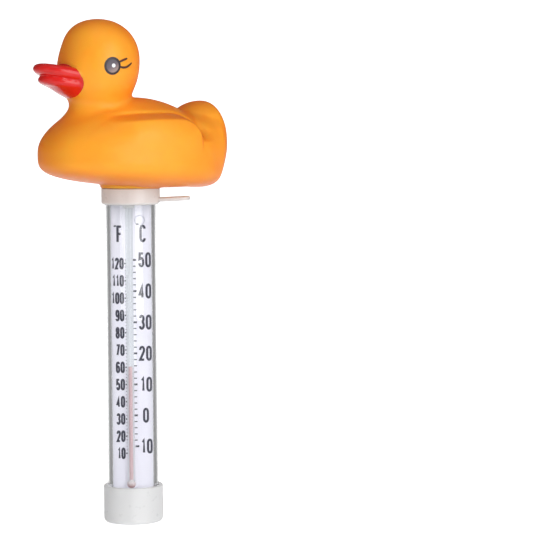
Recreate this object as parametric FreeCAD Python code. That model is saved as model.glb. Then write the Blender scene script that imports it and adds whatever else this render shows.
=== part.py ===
"""Floating pool thermometer: a hollow duck float on a weighted clear tube with a spirit thermometer.

Units are millimetres. The origin is the centre of the bottom cap's flat rest face, +Z runs up
the tube and the scale faces -Y. The lanyard eye points along +X. The duck looks towards -X,
turned a little to the scale's side, so that its left side is seen with the scale.
"""

import FreeCAD, Part
import math
import os

# ---- driving dimensions ----

TUBE_OUTER_R = 12.0
TUBE_WALL = 1.9
TUBE_TOP_Z = 156.2
TUBE_BORE_R = TUBE_OUTER_R - TUBE_WALL
FIT = 0.05  # radial gap between a part and the bore it is glued or pushed into

CAP_R = 14.1
CAP_HEIGHT = 17.6
CAP_FLOOR = 2.4
CAP_FOOT_ROUND = 2.2
CAP_RIM_ROUND = 0.5
CAP_GROOVE_Z = 9.8

COLLAR_R = 13.8
COLLAR_BOTTOM_Z = 151.0
COLLAR_TOP_Z = 158.8
COLLAR_WEB = 2.0
COLLAR_WEB_RISE = 0.8  # the web's top over the collar's shoulder
COLLAR_EDGE_ROUND = 0.48
SPIGOT_R = 10.4
SPIGOT_BORE_R = 8.6
SPIGOT_TOP_Z = 168.0
BARB_R = 11.6
BARB_GAP = 0.1  # between the duck's wall and the barb that holds it
BARB_STEP = 0.2
BARB_LENGTH = 3.5

EYE_TAB_REACH = 28.2  # from the tube axis to the tab's rounded end
EYE_TAB_WIDTH = 9.0
EYE_TAB_THICK = 1.8
EYE_TAB_Z = 152.2
EYE_HOLE_R = 2.3
EYE_TAB_ROOT = 1.0  # how far the tab starts inside the collar

RING_R = 0.5  # half thickness of the bottom cap's sealing ring
RING_GAP = 0.1  # above and below the ring in its groove
RING_SLACK = 0.01
GASKET_HEIGHT = 1.36
GASKET_GAP = 0.02
WASHER_HEIGHT = 0.8
WASHER_R = 13.0

BALLAST_TOP_Z = 12.3
BALLAST_CHAMFER = 0.5
INSERT_R = 9.9  # everything that drops down the tube's bore
CRADLE_TOP_Z = 14.9
CARD_WIDTH = 19.8
CARD_THICK = 0.35
CARD_FRONT_Y = 0.55
CARD_SEAT = 0.9  # how far each end of the card stands in its groove
CARD_GAP = 0.03  # between the bulb and the card behind it
BUSH_BOTTOM_Z = 152.0
BUSH_TOP_Z = 155.0
BUSH_SLEEVE_DROP = 2.6
BUSH_SLEEVE_R = 2.7

STEM_R = 1.75
STEM_BORE_R = 0.70
STEM_X = -0.9
STEM_TOP_Z = 154.0
STEM_TOP_ROUND = 1.2
STEM_BORE_TOP_Z = 150.0
STEM_END_GAP = 0.1
BULB_R = 2.1
BULB_CAVITY_R = 1.55
BULB_Z = 18.05
NIB_R = 0.85
NIB_BOTTOM_Z = 13.2
NIB_ROUND = 0.6

SPIRIT_GAP = 0.05
SPIRIT_TOP_ROUND = 0.6  # of the column's radius
SCALE_ZERO_Z = 50.5  # height of 0 degrees Celsius
SCALE_PER_DEGREE = 1.482
LEVEL_C = 16.0  # the level that the column stands at

DUCK_YAW = 30.0
DUCK_WALL = 1.6
DUCK_BASE_Z = COLLAR_TOP_Z + WASHER_HEIGHT
BODY_HALF_LENGTH = 47.0
BODY_HALF_WIDTH = 33.0
BODY_WIDEST_Z = 174.0
BODY_HALF_ABOVE = 26.0
BODY_BASE_SHARE = 0.6  # the flat base's share of the widest outline
BODY_TOP_SHARE = 0.2  # the last outline's share, where the loft closes flat on the back
BODY_STEEP = 3.0  # superellipse powers below and above the widest outline
BODY_GENTLE = 2.3
HEAD_R = 19.6
HEAD_U = 17.2
HEAD_Z = 218.4
NECK_R = 14.8
NECK_Z = 200.0
# height over the neck's waist, and how much wider the neck is there
NECK_FLARE = [(-12, 9.0), (-5, 2.8), (0, 0.0), (5, 0.4), (10, 1.8)]
# centre and half sizes along u, v and z
TAIL_CENTRE = (-35.5, 0, 187.0)
TAIL_SIZE = (12.0, 20.0, 13.0)
UPPER_LIP_CENTRE = (HEAD_U + HEAD_R - 4.0, 0, HEAD_Z - 5.0)
UPPER_LIP_SIZE = (18.0, 11.5, 4.4)
LOWER_LIP_CENTRE = (HEAD_U + HEAD_R - 5.0, 0, HEAD_Z - 10.8)
LOWER_LIP_SIZE = (15.5, 10.5, 4.6)
WING_CENTRE = (-13.0, 25.5, 183.0)  # the left wing's
WING_SIZE = (20.0, 8.0, 8.5)
WING_TOE_OUT = 14.0  # degrees

STEM_Y = CARD_FRONT_Y - BULB_R - CARD_GAP
SPIRIT_R = STEM_BORE_R - SPIRIT_GAP
LEVEL_Z = SCALE_ZERO_Z + SCALE_PER_DEGREE * LEVEL_C
COLUMN_FOOT_Z = BULB_Z + BULB_R
WEB_TOP_Z = COLLAR_TOP_Z + COLLAR_WEB_RISE

Vec = FreeCAD.Vector
UP = Vec(0, 0, 1)


# ---- helpers ----


def turned(profile):
    """Solid of revolution about Z from a closed outline of (radius, height) points."""
    points = [Vec(r, 0, z) for r, z in profile]
    face = Part.Face(Part.makePolygon(points + points[:1]))
    return face.revolve(Vec(0, 0, 0), UP, 360)


def cylinder(radius, z_low, z_high, x=0.0, y=0.0):
    return Part.makeCylinder(radius, z_high - z_low, Vec(x, y, z_low))


def box(x_low, x_high, y_low, y_high, z_low, z_high):
    size = (x_high - x_low, y_high - y_low, z_high - z_low)
    return Part.makeBox(*size, Vec(x_low, y_low, z_low))


def rims(solid, radius, z):
    """The circular edges of one radius at one height."""
    found = []
    for edge in solid.Edges:
        curve = edge.Curve
        if not isinstance(curve, Part.Circle):
            continue
        if abs(curve.Radius - radius) < 1e-4 and abs(curve.Center.z - z) < 1e-4:
            found.append(edge)
    return found


def ellipsoid(centre, half_sizes):
    scale = FreeCAD.Matrix()
    scale.scale(Vec(*half_sizes))
    shape = Part.makeSphere(1.0).transformGeometry(scale)
    shape.translate(Vec(*centre))
    return shape


def oval(centre_u, half_length, half_width, z, fullness=2.3, count=24):
    """Closed smooth outline at one height: a superellipse, rounder as fullness nears 2."""
    points = []
    for i in range(count):
        angle = 2 * math.pi * i / count
        c = math.cos(angle)
        s = math.sin(angle)
        u = math.copysign(abs(c) ** (2 / fullness), c)
        v = math.copysign(abs(s) ** (2 / fullness), s)
        points.append(Vec(centre_u + half_length * u, half_width * v, z))
    curve = Part.BSplineCurve()
    curve.interpolate(points, PeriodicFlag=True)
    return Part.Wire(curve.toShape())


def save(shape, node):
    if not shape.isValid():
        raise ValueError(node + " is not a valid solid")
    shape.exportStep("parts/" + node + ".step")


# ---- the duck float, in its own frame: u forward, v to its left, z up ----


def duck_body(inset):
    """The boat-shaped body: outlines that swell from a flat base and close over the back."""
    half_length = BODY_HALF_LENGTH - inset
    half_width = BODY_HALF_WIDTH - inset
    below = BODY_WIDEST_Z - DUCK_BASE_Z - inset
    above = BODY_HALF_ABOVE - inset
    sections = []
    base_angle = math.acos(BODY_BASE_SHARE ** (BODY_STEEP / 2))
    for i in range(5):
        angle = base_angle * (1 - i / 4)
        share = math.cos(angle) ** (2 / BODY_STEEP)
        drop = math.sin(angle) / math.sin(base_angle)
        z = BODY_WIDEST_Z - below * drop ** (2 / BODY_STEEP)
        sections.append(oval(0, half_length * share, half_width * share, z))
    top_angle = math.acos(BODY_TOP_SHARE ** (BODY_GENTLE / 2))
    for i in range(1, 7):
        angle = top_angle * i / 6
        share = math.cos(angle) ** (2 / BODY_GENTLE)
        z = BODY_WIDEST_Z + above * math.sin(angle) ** (2 / BODY_GENTLE)
        sections.append(oval(0, half_length * share, half_width * share, z))
    return Part.makeLoft(sections, True)


def duck_neck(inset):
    """The waisted neck between the back and the head."""
    sections = []
    for rise, flare in NECK_FLARE:
        radius = NECK_R + flare - inset
        sections.append(oval(HEAD_U - 1, radius, radius, NECK_Z + rise, 2.0))
    return Part.makeLoft(sections, True)


def duck_head(inset):
    radius = HEAD_R - inset
    return ellipsoid((HEAD_U, 0, HEAD_Z), (radius, radius, radius))


def duck_tail(inset):
    return ellipsoid(TAIL_CENTRE, [size - inset for size in TAIL_SIZE])


def duck_bill():
    """Two flat lips, one above the other, joined at the head."""
    upper = ellipsoid(UPPER_LIP_CENTRE, UPPER_LIP_SIZE)
    return upper.fuse(ellipsoid(LOWER_LIP_CENTRE, LOWER_LIP_SIZE))


def duck_wings():
    """A folded wing on each side, wider apart at the front."""
    wings = []
    for side in (-1, 1):
        centre = Vec(WING_CENTRE[0], side * WING_CENTRE[1], WING_CENTRE[2])
        pad = ellipsoid(centre, WING_SIZE)
        pad.rotate(centre, UP, side * WING_TOE_OUT)
        wings.append(pad)
    return wings


def duck_float():
    """One hollow moulding, open underneath where the collar's spigot pushes in."""
    outside = duck_body(0)
    for lobe in [duck_neck(0), duck_head(0), duck_tail(0), duck_bill()] + duck_wings():
        outside = outside.fuse(lobe)
    hollow = duck_body(DUCK_WALL)
    for lobe in (duck_neck(DUCK_WALL), duck_head(DUCK_WALL), duck_tail(DUCK_WALL)):
        hollow = hollow.fuse(lobe)
    opening = cylinder(SPIGOT_R + FIT, DUCK_BASE_Z - 1, DUCK_BASE_Z + DUCK_WALL + 1)
    shell = outside.cut(hollow).cut(opening)
    shell.rotate(Vec(0, 0, 0), UP, 180 + DUCK_YAW)
    return shell.Solids[0]


def float_washer():
    """Soft washer between the collar's shoulder and the duck's base."""
    ring = cylinder(WASHER_R, COLLAR_TOP_Z, DUCK_BASE_Z)
    return ring.cut(cylinder(SPIGOT_R + FIT, COLLAR_TOP_Z - 1, DUCK_BASE_Z + 1))


# ---- the collar and the tube ----


def collar():
    """Top plug of the tube: skirt, closed web, barbed spigot and lanyard eye in one moulding."""
    web_bottom = WEB_TOP_Z - COLLAR_WEB
    bore = TUBE_OUTER_R + FIT
    barb_z = DUCK_BASE_Z + DUCK_WALL + BARB_GAP
    body = turned([
        (0, web_bottom),
        (bore, web_bottom),
        (bore, COLLAR_BOTTOM_Z),
        (COLLAR_R, COLLAR_BOTTOM_Z),
        (COLLAR_R, COLLAR_TOP_Z),
        (SPIGOT_R, COLLAR_TOP_Z),
        (SPIGOT_R, barb_z),
        (BARB_R, barb_z + BARB_STEP),
        (SPIGOT_R, barb_z + BARB_LENGTH),
        (SPIGOT_R, SPIGOT_TOP_Z),
        (SPIGOT_BORE_R, SPIGOT_TOP_Z),
        (SPIGOT_BORE_R, WEB_TOP_Z),
        (0, WEB_TOP_Z),
    ])
    edge = rims(body, COLLAR_R, COLLAR_BOTTOM_Z) + rims(body, COLLAR_R, COLLAR_TOP_Z)
    body = body.makeFillet(COLLAR_EDGE_ROUND, edge)
    return body.fuse(eye_tab()).removeSplitter().Solids[0]


def eye_tab():
    """Flat tab with a round end and a round hole for a cord."""
    half = EYE_TAB_WIDTH / 2
    top = EYE_TAB_Z + EYE_TAB_THICK
    end_x = EYE_TAB_REACH - half
    tab = box(COLLAR_R - EYE_TAB_ROOT, end_x, -half, half, EYE_TAB_Z, top)
    tab = tab.fuse(cylinder(half, EYE_TAB_Z, top, end_x))
    tab = tab.cut(cylinder(TUBE_OUTER_R + FIT, EYE_TAB_Z - 1, top + 1))
    tab = tab.cut(cylinder(EYE_HOLE_R, EYE_TAB_Z - 1, top + 1, end_x))
    return tab.removeSplitter()


def tube_gasket():
    """Soft ring squeezed between the tube's top end and the collar's web."""
    middle_r = (TUBE_OUTER_R + TUBE_BORE_R) / 2
    z = TUBE_TOP_Z + GASKET_GAP + GASKET_HEIGHT / 2
    return Part.makeTorus(middle_r, GASKET_HEIGHT / 2, Vec(0, 0, z))


def clear_tube():
    outside = cylinder(TUBE_OUTER_R, CAP_FLOOR, TUBE_TOP_Z)
    return outside.cut(cylinder(TUBE_BORE_R, CAP_FLOOR - 1, TUBE_TOP_Z + 1))


# ---- the bottom cap and the weight ----


def bottom_cap():
    """Closed cup over the tube's lower end, with a groove for its sealing ring."""
    bore = TUBE_OUTER_R + FIT
    groove_r = bore + 2 * RING_R
    half = RING_R + RING_GAP
    body = turned([
        (0, 0),
        (CAP_R, 0),
        (CAP_R, CAP_HEIGHT),
        (bore, CAP_HEIGHT),
        (bore, CAP_GROOVE_Z + half),
        (groove_r, CAP_GROOVE_Z + half),
        (groove_r, CAP_GROOVE_Z - half),
        (bore, CAP_GROOVE_Z - half),
        (bore, CAP_FLOOR),
        (0, CAP_FLOOR),
    ])
    body = body.makeFillet(CAP_FOOT_ROUND, rims(body, CAP_R, 0))
    return body.makeFillet(CAP_RIM_ROUND, rims(body, CAP_R, CAP_HEIGHT))


def cap_ring():
    radius = RING_R - RING_SLACK
    middle_r = TUBE_OUTER_R + FIT + RING_R
    return Part.makeTorus(middle_r, radius, Vec(0, 0, CAP_GROOVE_Z))


def ballast_slug():
    """Steel slug that keeps the tube hanging upright in the water."""
    low = CAP_FLOOR + FIT
    slug = cylinder(INSERT_R, low, BALLAST_TOP_Z)
    edges = rims(slug, INSERT_R, low) + rims(slug, INSERT_R, BALLAST_TOP_Z)
    return slug.makeChamfer(BALLAST_CHAMFER, edges)


# ---- the thermometer inside the tube ----


def card_groove(z_low, z_high):
    """What is cut from a disc to seat an end of the card."""
    half = CARD_WIDTH / 2 + 1
    back = CARD_FRONT_Y + CARD_THICK + FIT
    return box(-half, half, CARD_FRONT_Y - FIT, back, z_low, z_high)


def bulb_cradle():
    """Soft disc on the slug: a groove holds the card's foot and a hole holds the bulb's nib."""
    low = BALLAST_TOP_Z + FIT
    disc = cylinder(INSERT_R, low, CRADLE_TOP_Z)
    disc = disc.cut(card_groove(CRADLE_TOP_Z - CARD_SEAT - FIT, CRADLE_TOP_Z + 1))
    return disc.cut(cylinder(NIB_R + FIT, low - 1, CRADLE_TOP_Z + 1, STEM_X, STEM_Y))


def stem_top_bush():
    """Soft disc under the collar: a groove holds the card's head and a sleeve holds the stem."""
    disc = cylinder(INSERT_R, BUSH_BOTTOM_Z, BUSH_TOP_Z)
    disc = disc.cut(card_groove(BUSH_BOTTOM_Z - 1, BUSH_BOTTOM_Z + CARD_SEAT + FIT))
    sleeve_low = BUSH_BOTTOM_Z - BUSH_SLEEVE_DROP
    sleeve = cylinder(BUSH_SLEEVE_R, sleeve_low, BUSH_BOTTOM_Z, STEM_X, STEM_Y)
    card_side = box(-INSERT_R, INSERT_R, CARD_FRONT_Y - FIT, INSERT_R, sleeve_low - 1, BUSH_BOTTOM_Z)
    bush = disc.fuse(sleeve.cut(card_side)).removeSplitter()
    stem_hole = cylinder(STEM_R + FIT, sleeve_low - 1, STEM_TOP_Z + STEM_END_GAP, STEM_X, STEM_Y)
    return bush.cut(stem_hole).Solids[0]


def scale_card():
    """White card that carries the two printed scales, as wide as the tube's bore."""
    half = CARD_WIDTH / 2
    low = CRADLE_TOP_Z - CARD_SEAT
    high = BUSH_BOTTOM_Z + CARD_SEAT
    back = CARD_FRONT_Y + CARD_THICK
    return box(-half, half, CARD_FRONT_Y, back, low, high)


def thermometer_glass():
    """Closed capillary stem on a round bulb, with the sealed nib it was drawn off by."""
    stem = cylinder(STEM_R, BULB_Z, STEM_TOP_Z, STEM_X, STEM_Y)
    stem = stem.makeFillet(STEM_TOP_ROUND, rims(stem, STEM_R, STEM_TOP_Z))
    bulb = Part.makeSphere(BULB_R, Vec(STEM_X, STEM_Y, BULB_Z))
    nib = cylinder(NIB_R, NIB_BOTTOM_Z, BULB_Z, STEM_X, STEM_Y)
    nib = nib.makeFillet(NIB_ROUND, rims(nib, NIB_R, NIB_BOTTOM_Z))
    glass = stem.fuse(bulb).fuse(nib)
    bore = cylinder(STEM_BORE_R, BULB_Z, STEM_BORE_TOP_Z, STEM_X, STEM_Y)
    cavity = Part.makeSphere(BULB_CAVITY_R, Vec(STEM_X, STEM_Y, BULB_Z))
    return glass.cut(bore.fuse(cavity)).Solids[0]


def spirit_fill():
    """Dyed spirit in the bulb, up to the foot of the column."""
    centre = Vec(STEM_X, STEM_Y, BULB_Z)
    fill = Part.makeSphere(BULB_CAVITY_R - SPIRIT_GAP, centre)
    return fill.fuse(cylinder(SPIRIT_R, BULB_Z, COLUMN_FOOT_Z, STEM_X, STEM_Y)).Solids[0]


def spirit_column():
    """Dyed spirit in the capillary: this is what rises and falls with the temperature."""
    column = cylinder(SPIRIT_R, COLUMN_FOOT_Z + SPIRIT_GAP, LEVEL_Z, STEM_X, STEM_Y)
    return column.makeFillet(SPIRIT_R * SPIRIT_TOP_ROUND, rims(column, SPIRIT_R, LEVEL_Z))


NODES = {
    "duck_float": duck_float,
    "float_washer": float_washer,
    "collar": collar,
    "tube_gasket": tube_gasket,
    "clear_tube": clear_tube,
    "bottom_cap": bottom_cap,
    "cap_ring": cap_ring,
    "ballast_slug": ballast_slug,
    "bulb_cradle": bulb_cradle,
    "stem_top_bush": stem_top_bush,
    "scale_card": scale_card,
    "thermometer_glass": thermometer_glass,
    "spirit_fill": spirit_fill,
    "spirit_column": spirit_column,
}

os.makedirs("parts", exist_ok=True)
for node, make in NODES.items():
    save(make(), node)
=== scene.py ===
"""The looks of the floating pool thermometer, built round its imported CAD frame.

Lengths are millimetres in this script's own shapes and metres in Blender. The duck has a frame
of its own: u forward, v to its left and z up, with u = v = 0 on the tube's axis.
"""

import math

import bpy
import numpy as np
from mathutils import Matrix, Vector


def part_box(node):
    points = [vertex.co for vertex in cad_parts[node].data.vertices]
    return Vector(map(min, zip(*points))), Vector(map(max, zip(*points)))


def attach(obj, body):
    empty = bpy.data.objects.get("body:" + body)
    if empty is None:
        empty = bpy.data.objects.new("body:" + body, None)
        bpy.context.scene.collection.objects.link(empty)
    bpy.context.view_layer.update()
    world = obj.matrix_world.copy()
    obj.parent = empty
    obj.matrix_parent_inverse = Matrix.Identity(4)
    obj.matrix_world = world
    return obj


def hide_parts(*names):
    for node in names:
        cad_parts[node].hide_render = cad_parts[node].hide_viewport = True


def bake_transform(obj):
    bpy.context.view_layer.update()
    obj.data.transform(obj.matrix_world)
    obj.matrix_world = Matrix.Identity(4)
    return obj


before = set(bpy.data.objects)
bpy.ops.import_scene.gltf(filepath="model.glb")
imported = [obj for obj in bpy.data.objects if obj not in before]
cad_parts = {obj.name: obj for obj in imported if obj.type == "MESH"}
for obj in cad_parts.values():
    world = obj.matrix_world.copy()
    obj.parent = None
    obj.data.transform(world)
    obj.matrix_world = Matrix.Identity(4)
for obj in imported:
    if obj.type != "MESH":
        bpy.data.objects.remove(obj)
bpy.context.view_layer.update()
MM = 0.001
FIXED = "thermometer"
SHARP_ANGLE = 35.0  # degrees between faces beyond which their edge is shaded sharp
SUPPORT_MIN = 0.8  # a straight longer than this gets support points
SUPPORT_INSET = 0.12


def node_box(node):
    """Lowest and highest corner of a CAD node, in millimetres."""
    low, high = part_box(node)
    return np.array(low) / MM, np.array(high) / MM


# ---- meshes ----


def shade_smooth(mesh, sharp):
    mesh.polygons.foreach_set("use_smooth", np.ones(len(mesh.polygons), bool))
    mesh.set_sharp_from_angle(angle=math.radians(sharp))


def mesh_piece(name, points, faces, materials, sharp=SHARP_ANGLE, which=None):
    """A mesh object from points in millimetres. `which` picks a material for each face."""
    mesh = bpy.data.meshes.new(name)
    mesh.from_pydata((np.asarray(points) * MM).tolist(), [], [list(map(int, f)) for f in faces])
    mesh.update()
    for item in materials:
        mesh.materials.append(item)
    if which is not None:
        mesh.polygons.foreach_set("material_index", np.asarray(which, np.int32))
    shade_smooth(mesh, sharp)
    piece = bpy.data.objects.new(name, mesh)
    bpy.context.scene.collection.objects.link(piece)
    return piece


def add_attribute(piece, name, values):
    layer = piece.data.attributes.new(name, "FLOAT", "POINT")
    layer.data.foreach_set("value", np.asarray(values, np.float32))


def place(piece, body, replaced=()):
    """Puts a piece on a body, in place of CAD nodes."""
    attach(piece, body)
    if replaced:
        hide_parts(*replaced)
    return piece


def arc(cx, cy, rx, ry, start, end, steps=14):
    """Points along an arc of an ellipse, between two angles in degrees."""
    out = []
    for k in range(steps + 1):
        a = math.radians(start + (end - start) * k / steps)
        out.append((cx + rx * math.cos(a), cy + ry * math.sin(a)))
    return out


def strips(rows, size, closed, looped=False, start=0):
    """Quads between neighbouring rows of `size` points. `closed` joins the ends of each row, and
    `looped` the last row to the first."""
    faces = []
    for i in range(rows if looped else rows - 1):
        low = start + i * size
        high = start + (i + 1) % rows * size
        for k in range(size if closed else size - 1):
            n = (k + 1) % size
            faces.append([low + k, low + n, high + n, high + k])
    return faces


def plate_faces(faces, count):
    """Closes a sheet of faces into a plate. Its second side's points are numbered `count` on."""
    out = [list(face) for face in faces]
    out += [[i + count for i in reversed(face)] for face in faces]
    edges = {(a, b) for face in faces for a, b in zip(face, list(face[1:]) + [face[0]])}
    out += [[b, a, a + count, b + count] for a, b in sorted(edges) if (b, a) not in edges]
    return out


def rounded(corners, closed=False, steps=6):
    """Outline through (r, z, radius) corners, each rounded by an arc of that radius."""
    out = []
    count = len(corners)
    for i, (r, z, radius) in enumerate(corners):
        if radius <= 0 or (not closed and i in (0, count - 1)):
            out.append((r, z))
            continue
        here = np.array((r, z))
        before = np.array(corners[i - 1][:2]) - here
        after = np.array(corners[(i + 1) % count][:2]) - here
        before = before / np.linalg.norm(before)
        after = after / np.linalg.norm(after)
        half = math.acos(np.clip(np.dot(before, after), -1, 1)) / 2
        reach = radius / math.tan(half)
        middle = (before + after) / np.linalg.norm(before + after)
        centre = here + middle * radius / math.sin(half)
        start = here + before * reach - centre
        end = here + after * reach - centre
        a0 = math.atan2(start[1], start[0])
        turn = math.atan2(end[1], end[0]) - a0
        turn = (turn + math.pi) % (2 * math.pi) - math.pi
        for k in range(steps + 1):
            a = a0 + turn * k / steps
            out.append((centre[0] + radius * math.cos(a), centre[1] + radius * math.sin(a)))
    return out


def with_supports(outline, closed):
    """Adds points close to both ends of each long straight, so that smooth shading stays flat
    along it and the rounding at its ends doesn't bend what is seen through it."""
    out = []
    pairs = list(zip(outline, outline[1:]))
    if closed:
        pairs.append((outline[-1], outline[0]))
    for start, end in pairs:
        out.append(start)
        length = math.dist(start, end)
        if length > SUPPORT_MIN:
            for share in (SUPPORT_INSET / length, 1.0 - SUPPORT_INSET / length):
                out.append(tuple(a + (b - a) * share for a, b in zip(start, end)))
    if not closed:
        out.append(outline[-1])
    return out


def lathe(outline, closed, turns=144, axis=(0.0, 0.0)):
    """Points and faces of an outline of (r, z) turned about a vertical axis. It runs anticlockwise
    in the (r, z) plane, so that faces look outward; an open one starts and ends on the axis."""
    outline = with_supports(outline, closed)
    points = []
    rings = []
    for r, z in outline:
        if r < 1e-6:
            rings.append([len(points)] * turns)
            points.append((axis[0], axis[1], z))
            continue
        rings.append(list(range(len(points), len(points) + turns)))
        for k in range(turns):
            a = 2 * math.pi * k / turns
            points.append((axis[0] + r * math.cos(a), axis[1] + r * math.sin(a), z))
    faces = []
    pairs = list(zip(rings, rings[1:]))
    if closed:
        pairs.append((rings[-1], rings[0]))
    for low, high in pairs:
        for k in range(turns):
            n = (k + 1) % turns
            corners = [low[k], low[n], high[n], high[k]]
            face = [c for i, c in enumerate(corners) if c not in corners[:i]]
            if len(face) > 2:
                faces.append(face)
    return points, faces


def turned(name, outline, turns, material, closed=False, axis=(0.0, 0.0)):
    return mesh_piece(name, *lathe(outline, closed, turns, axis), [material])


def joined(*parts):
    """Several (points, faces) sets as one."""
    points = []
    faces = []
    for more_points, more_faces in parts:
        start = len(points)
        points.extend(more_points)
        faces.extend([[start + i for i in face] for face in more_faces])
    return points, faces


# ---- materials ----


def new_material(name):
    made = bpy.data.materials.new(name)
    made.use_nodes = True
    tree = made.node_tree
    return made, tree, tree.nodes["Principled BSDF"]


def add_node(tree, kind, inputs=(), **settings):
    """A node with its settings, and its inputs given by name or number as values or as other sockets."""
    made = tree.nodes.new("ShaderNode" + kind)
    for key, value in settings.items():
        setattr(made, key, value)
    for key, value in dict(inputs).items():
        give(tree, made.inputs[key], value)
    return made


def give(tree, socket, value):
    """Links a socket to another one, or sets its value."""
    if isinstance(value, bpy.types.NodeSocket):
        tree.links.new(value, socket)
    elif socket.type == "RGBA" and len(value) == 3:
        socket.default_value = (*value, 1.0)
    else:
        socket.default_value = value


def set_inputs(tree, shader, **values):
    for key, value in values.items():
        give(tree, shader.inputs[key.replace("_", " ")], value)


def noise(tree, scale, detail=3.0, stretch=(1.0, 1.0, 1.0)):
    """Noise over the object's own coordinates; scale is in features per metre."""
    place_in = add_node(tree, "TexCoord").outputs["Object"]
    mapped = add_node(tree, "Mapping", {"Vector": place_in, "Scale": stretch}).outputs["Vector"]
    texture = add_node(tree, "TexNoise", {"Vector": mapped, "Scale": scale, "Detail": detail})
    return texture.outputs["Fac"]


def ramp(tree, value, stops):
    made = add_node(tree, "ValToRGB", {"Fac": value})
    items = made.color_ramp.elements
    while len(items) < len(stops):
        items.new(0.5)
    for item, (at, colour) in zip(items, stops):
        item.position = at
        item.color = (*colour, 1.0)
    return made.outputs["Color"]


def clouded(tree, value, dark, light):
    """A colour that wanders between two tones with some noise."""
    return ramp(tree, value, [(0.3, dark), (0.7, light)])


def between(tree, value, low, high, to_low=0.0, to_high=1.0):
    inputs = {"Value": value, "From Min": low, "From Max": high, "To Min": to_low, "To Max": to_high}
    return add_node(tree, "MapRange", inputs).outputs["Result"]


def wandering(tree, value, low, high):
    """A number that wanders between two values with some noise."""
    return between(tree, value, 0.3, 0.7, low, high)


def arithmetic(tree, operation, a, b=0.0):
    return add_node(tree, "Math", {0: a, 1: b}, operation=operation).outputs[0]


def mix_colours(tree, share, a, b):
    return add_node(tree, "Mix", {0: share, 6: a, 7: b}, data_type="RGBA").outputs[2]


def bump(tree, shader, height, depth_mm, strength=1.0):
    made = add_node(tree, "Bump", {"Height": height, "Distance": depth_mm * MM, "Strength": strength})
    tree.links.new(made.outputs["Normal"], shader.inputs["Normal"])


def attribute(tree, name):
    return add_node(tree, "Attribute", attribute_name=name).outputs["Fac"]


def use_surface(tree, socket):
    tree.links.new(socket, tree.nodes["Material Output"].inputs["Surface"])


def partly_clear(tree, shader, share, tint):
    """Mixes the shader with one that lets light straight through."""
    clear = add_node(tree, "BsdfTransparent", {"Color": tint}).outputs["BSDF"]
    both = {0: share, 1: shader.outputs["BSDF"], 2: clear}
    use_surface(tree, add_node(tree, "MixShader", both).outputs["Shader"])


def let_lamps_in(tree, shader, tint):
    """Lets the lamps' light through, so that what is inside is lit."""
    partly_clear(tree, shader, add_node(tree, "LightPath").outputs["Is Shadow Ray"], tint)


WHITE_SHADE = 0.965  # the darker tone of the moulded whites

# Surfaces of one clouded colour. Each has its colour's noise (scale, detail), its dark and light
# tone, its roughness (one value, or noise scale, low and high) and its grain (noise scale and
# detail, depth in mm, strength). The paint has a clear coat (weight, roughness) too.
PLAIN_SURFACES = {
    "bill_paint": (
        (60.0, 4.0),
        ((0.62, 0.006, 0.005), (0.72, 0.011, 0.008)),
        (400.0, 0.18, 0.26),
        (500.0, 2.0, 0.02, 0.15),
        (0.25, 0.12),
    ),
    "lash_print": ((1200.0, 3.0), ((0.055, 0.016, 0.010), (0.10, 0.030, 0.016)), 0.4, None),
    "card": ((35.0, 3.0), ((0.735, 0.728, 0.800), (0.765, 0.757, 0.830)), 0.7, (3000.0, 2.0, 0.01, 0.3)),
    "scale_ink": ((1500.0, 3.0), ((0.018, 0.018, 0.036), (0.034, 0.034, 0.058)), 0.5, None),
    # painted shade: the card's moulded ring mark is drawn as a faint grey ring
    "ring_mark_shade": ((900.0, 3.0), ((0.42, 0.42, 0.50), (0.48, 0.48, 0.56)), 0.5, None),
    "seal_rubber": (
        (200.0, 3.0),
        ((0.02, 0.02, 0.022), (0.035, 0.035, 0.04)),
        0.5,
        (1800.0, 3.0, 0.03, 0.4),
    ),
    "soft_white": ((200.0, 3.0), ((0.70, 0.70, 0.70), (0.78, 0.78, 0.77)), 0.45, (1800.0, 3.0, 0.03, 0.4)),
}
# The collar's copy of the white moulding is tinted warm: painted bounce light from the orange duck above
# it.
for white, light in (("white_abs", (0.705, 0.71, 0.717)), ("white_abs_warm_bounce", (0.70, 0.672, 0.662))):
    tones = (tuple(c * WHITE_SHADE for c in light), light)
    PLAIN_SURFACES[white] = ((40.0, 2.0), tones, (300.0, 0.26, 0.36), (90.0, 2.0, 0.004, 0.15))


def plain_material(name, cloud, tones, roughness, grain, coat=None):
    made, tree, shader = new_material(name)
    if isinstance(roughness, tuple):
        scale, low, high = roughness
        roughness = wandering(tree, noise(tree, scale), low, high)
    set_inputs(tree, shader, Base_Color=clouded(tree, noise(tree, *cloud), *tones), Roughness=roughness)
    if grain:
        scale, detail, depth, strength = grain
        bump(tree, shader, noise(tree, scale, detail), depth, strength)
    if coat:
        set_inputs(tree, shader, Coat_Weight=coat[0], Coat_Roughness=coat[1])
    return made


def duck_material():
    """Soft satin vinyl in orange, with a faint cloudiness and grain, and painted shade: a deeper red where
    it turns away.
    """
    made, tree, shader = new_material("duck_vinyl")
    orange = clouded(tree, noise(tree, 28.0, 2.0), (0.98, 0.360, 0.018), (1.0, 0.400, 0.028))
    # painted shade: where the surface turns away from the view, the orange is mixed towards a deep red
    facing_for_painted_shade = add_node(tree, "LayerWeight", {"Blend": 0.35}).outputs["Facing"]
    share = between(tree, facing_for_painted_shade, 0.12, 0.9, 0.0, 0.9)
    set_inputs(
        tree,
        shader,
        Base_Color=mix_colours(tree, share, orange, (0.82, 0.14, 0.003)),
        Roughness=wandering(tree, noise(tree, 220.0), 0.36, 0.46),
        Specular_IOR_Level=0.38,
        Subsurface_Weight=0.6,
        Subsurface_Radius=(1.0, 0.30, 0.10),
        Subsurface_Scale=0.007,
    )
    bump(tree, shader, noise(tree, 1500.0, 3.0), 0.05, 0.35)
    return made


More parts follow.
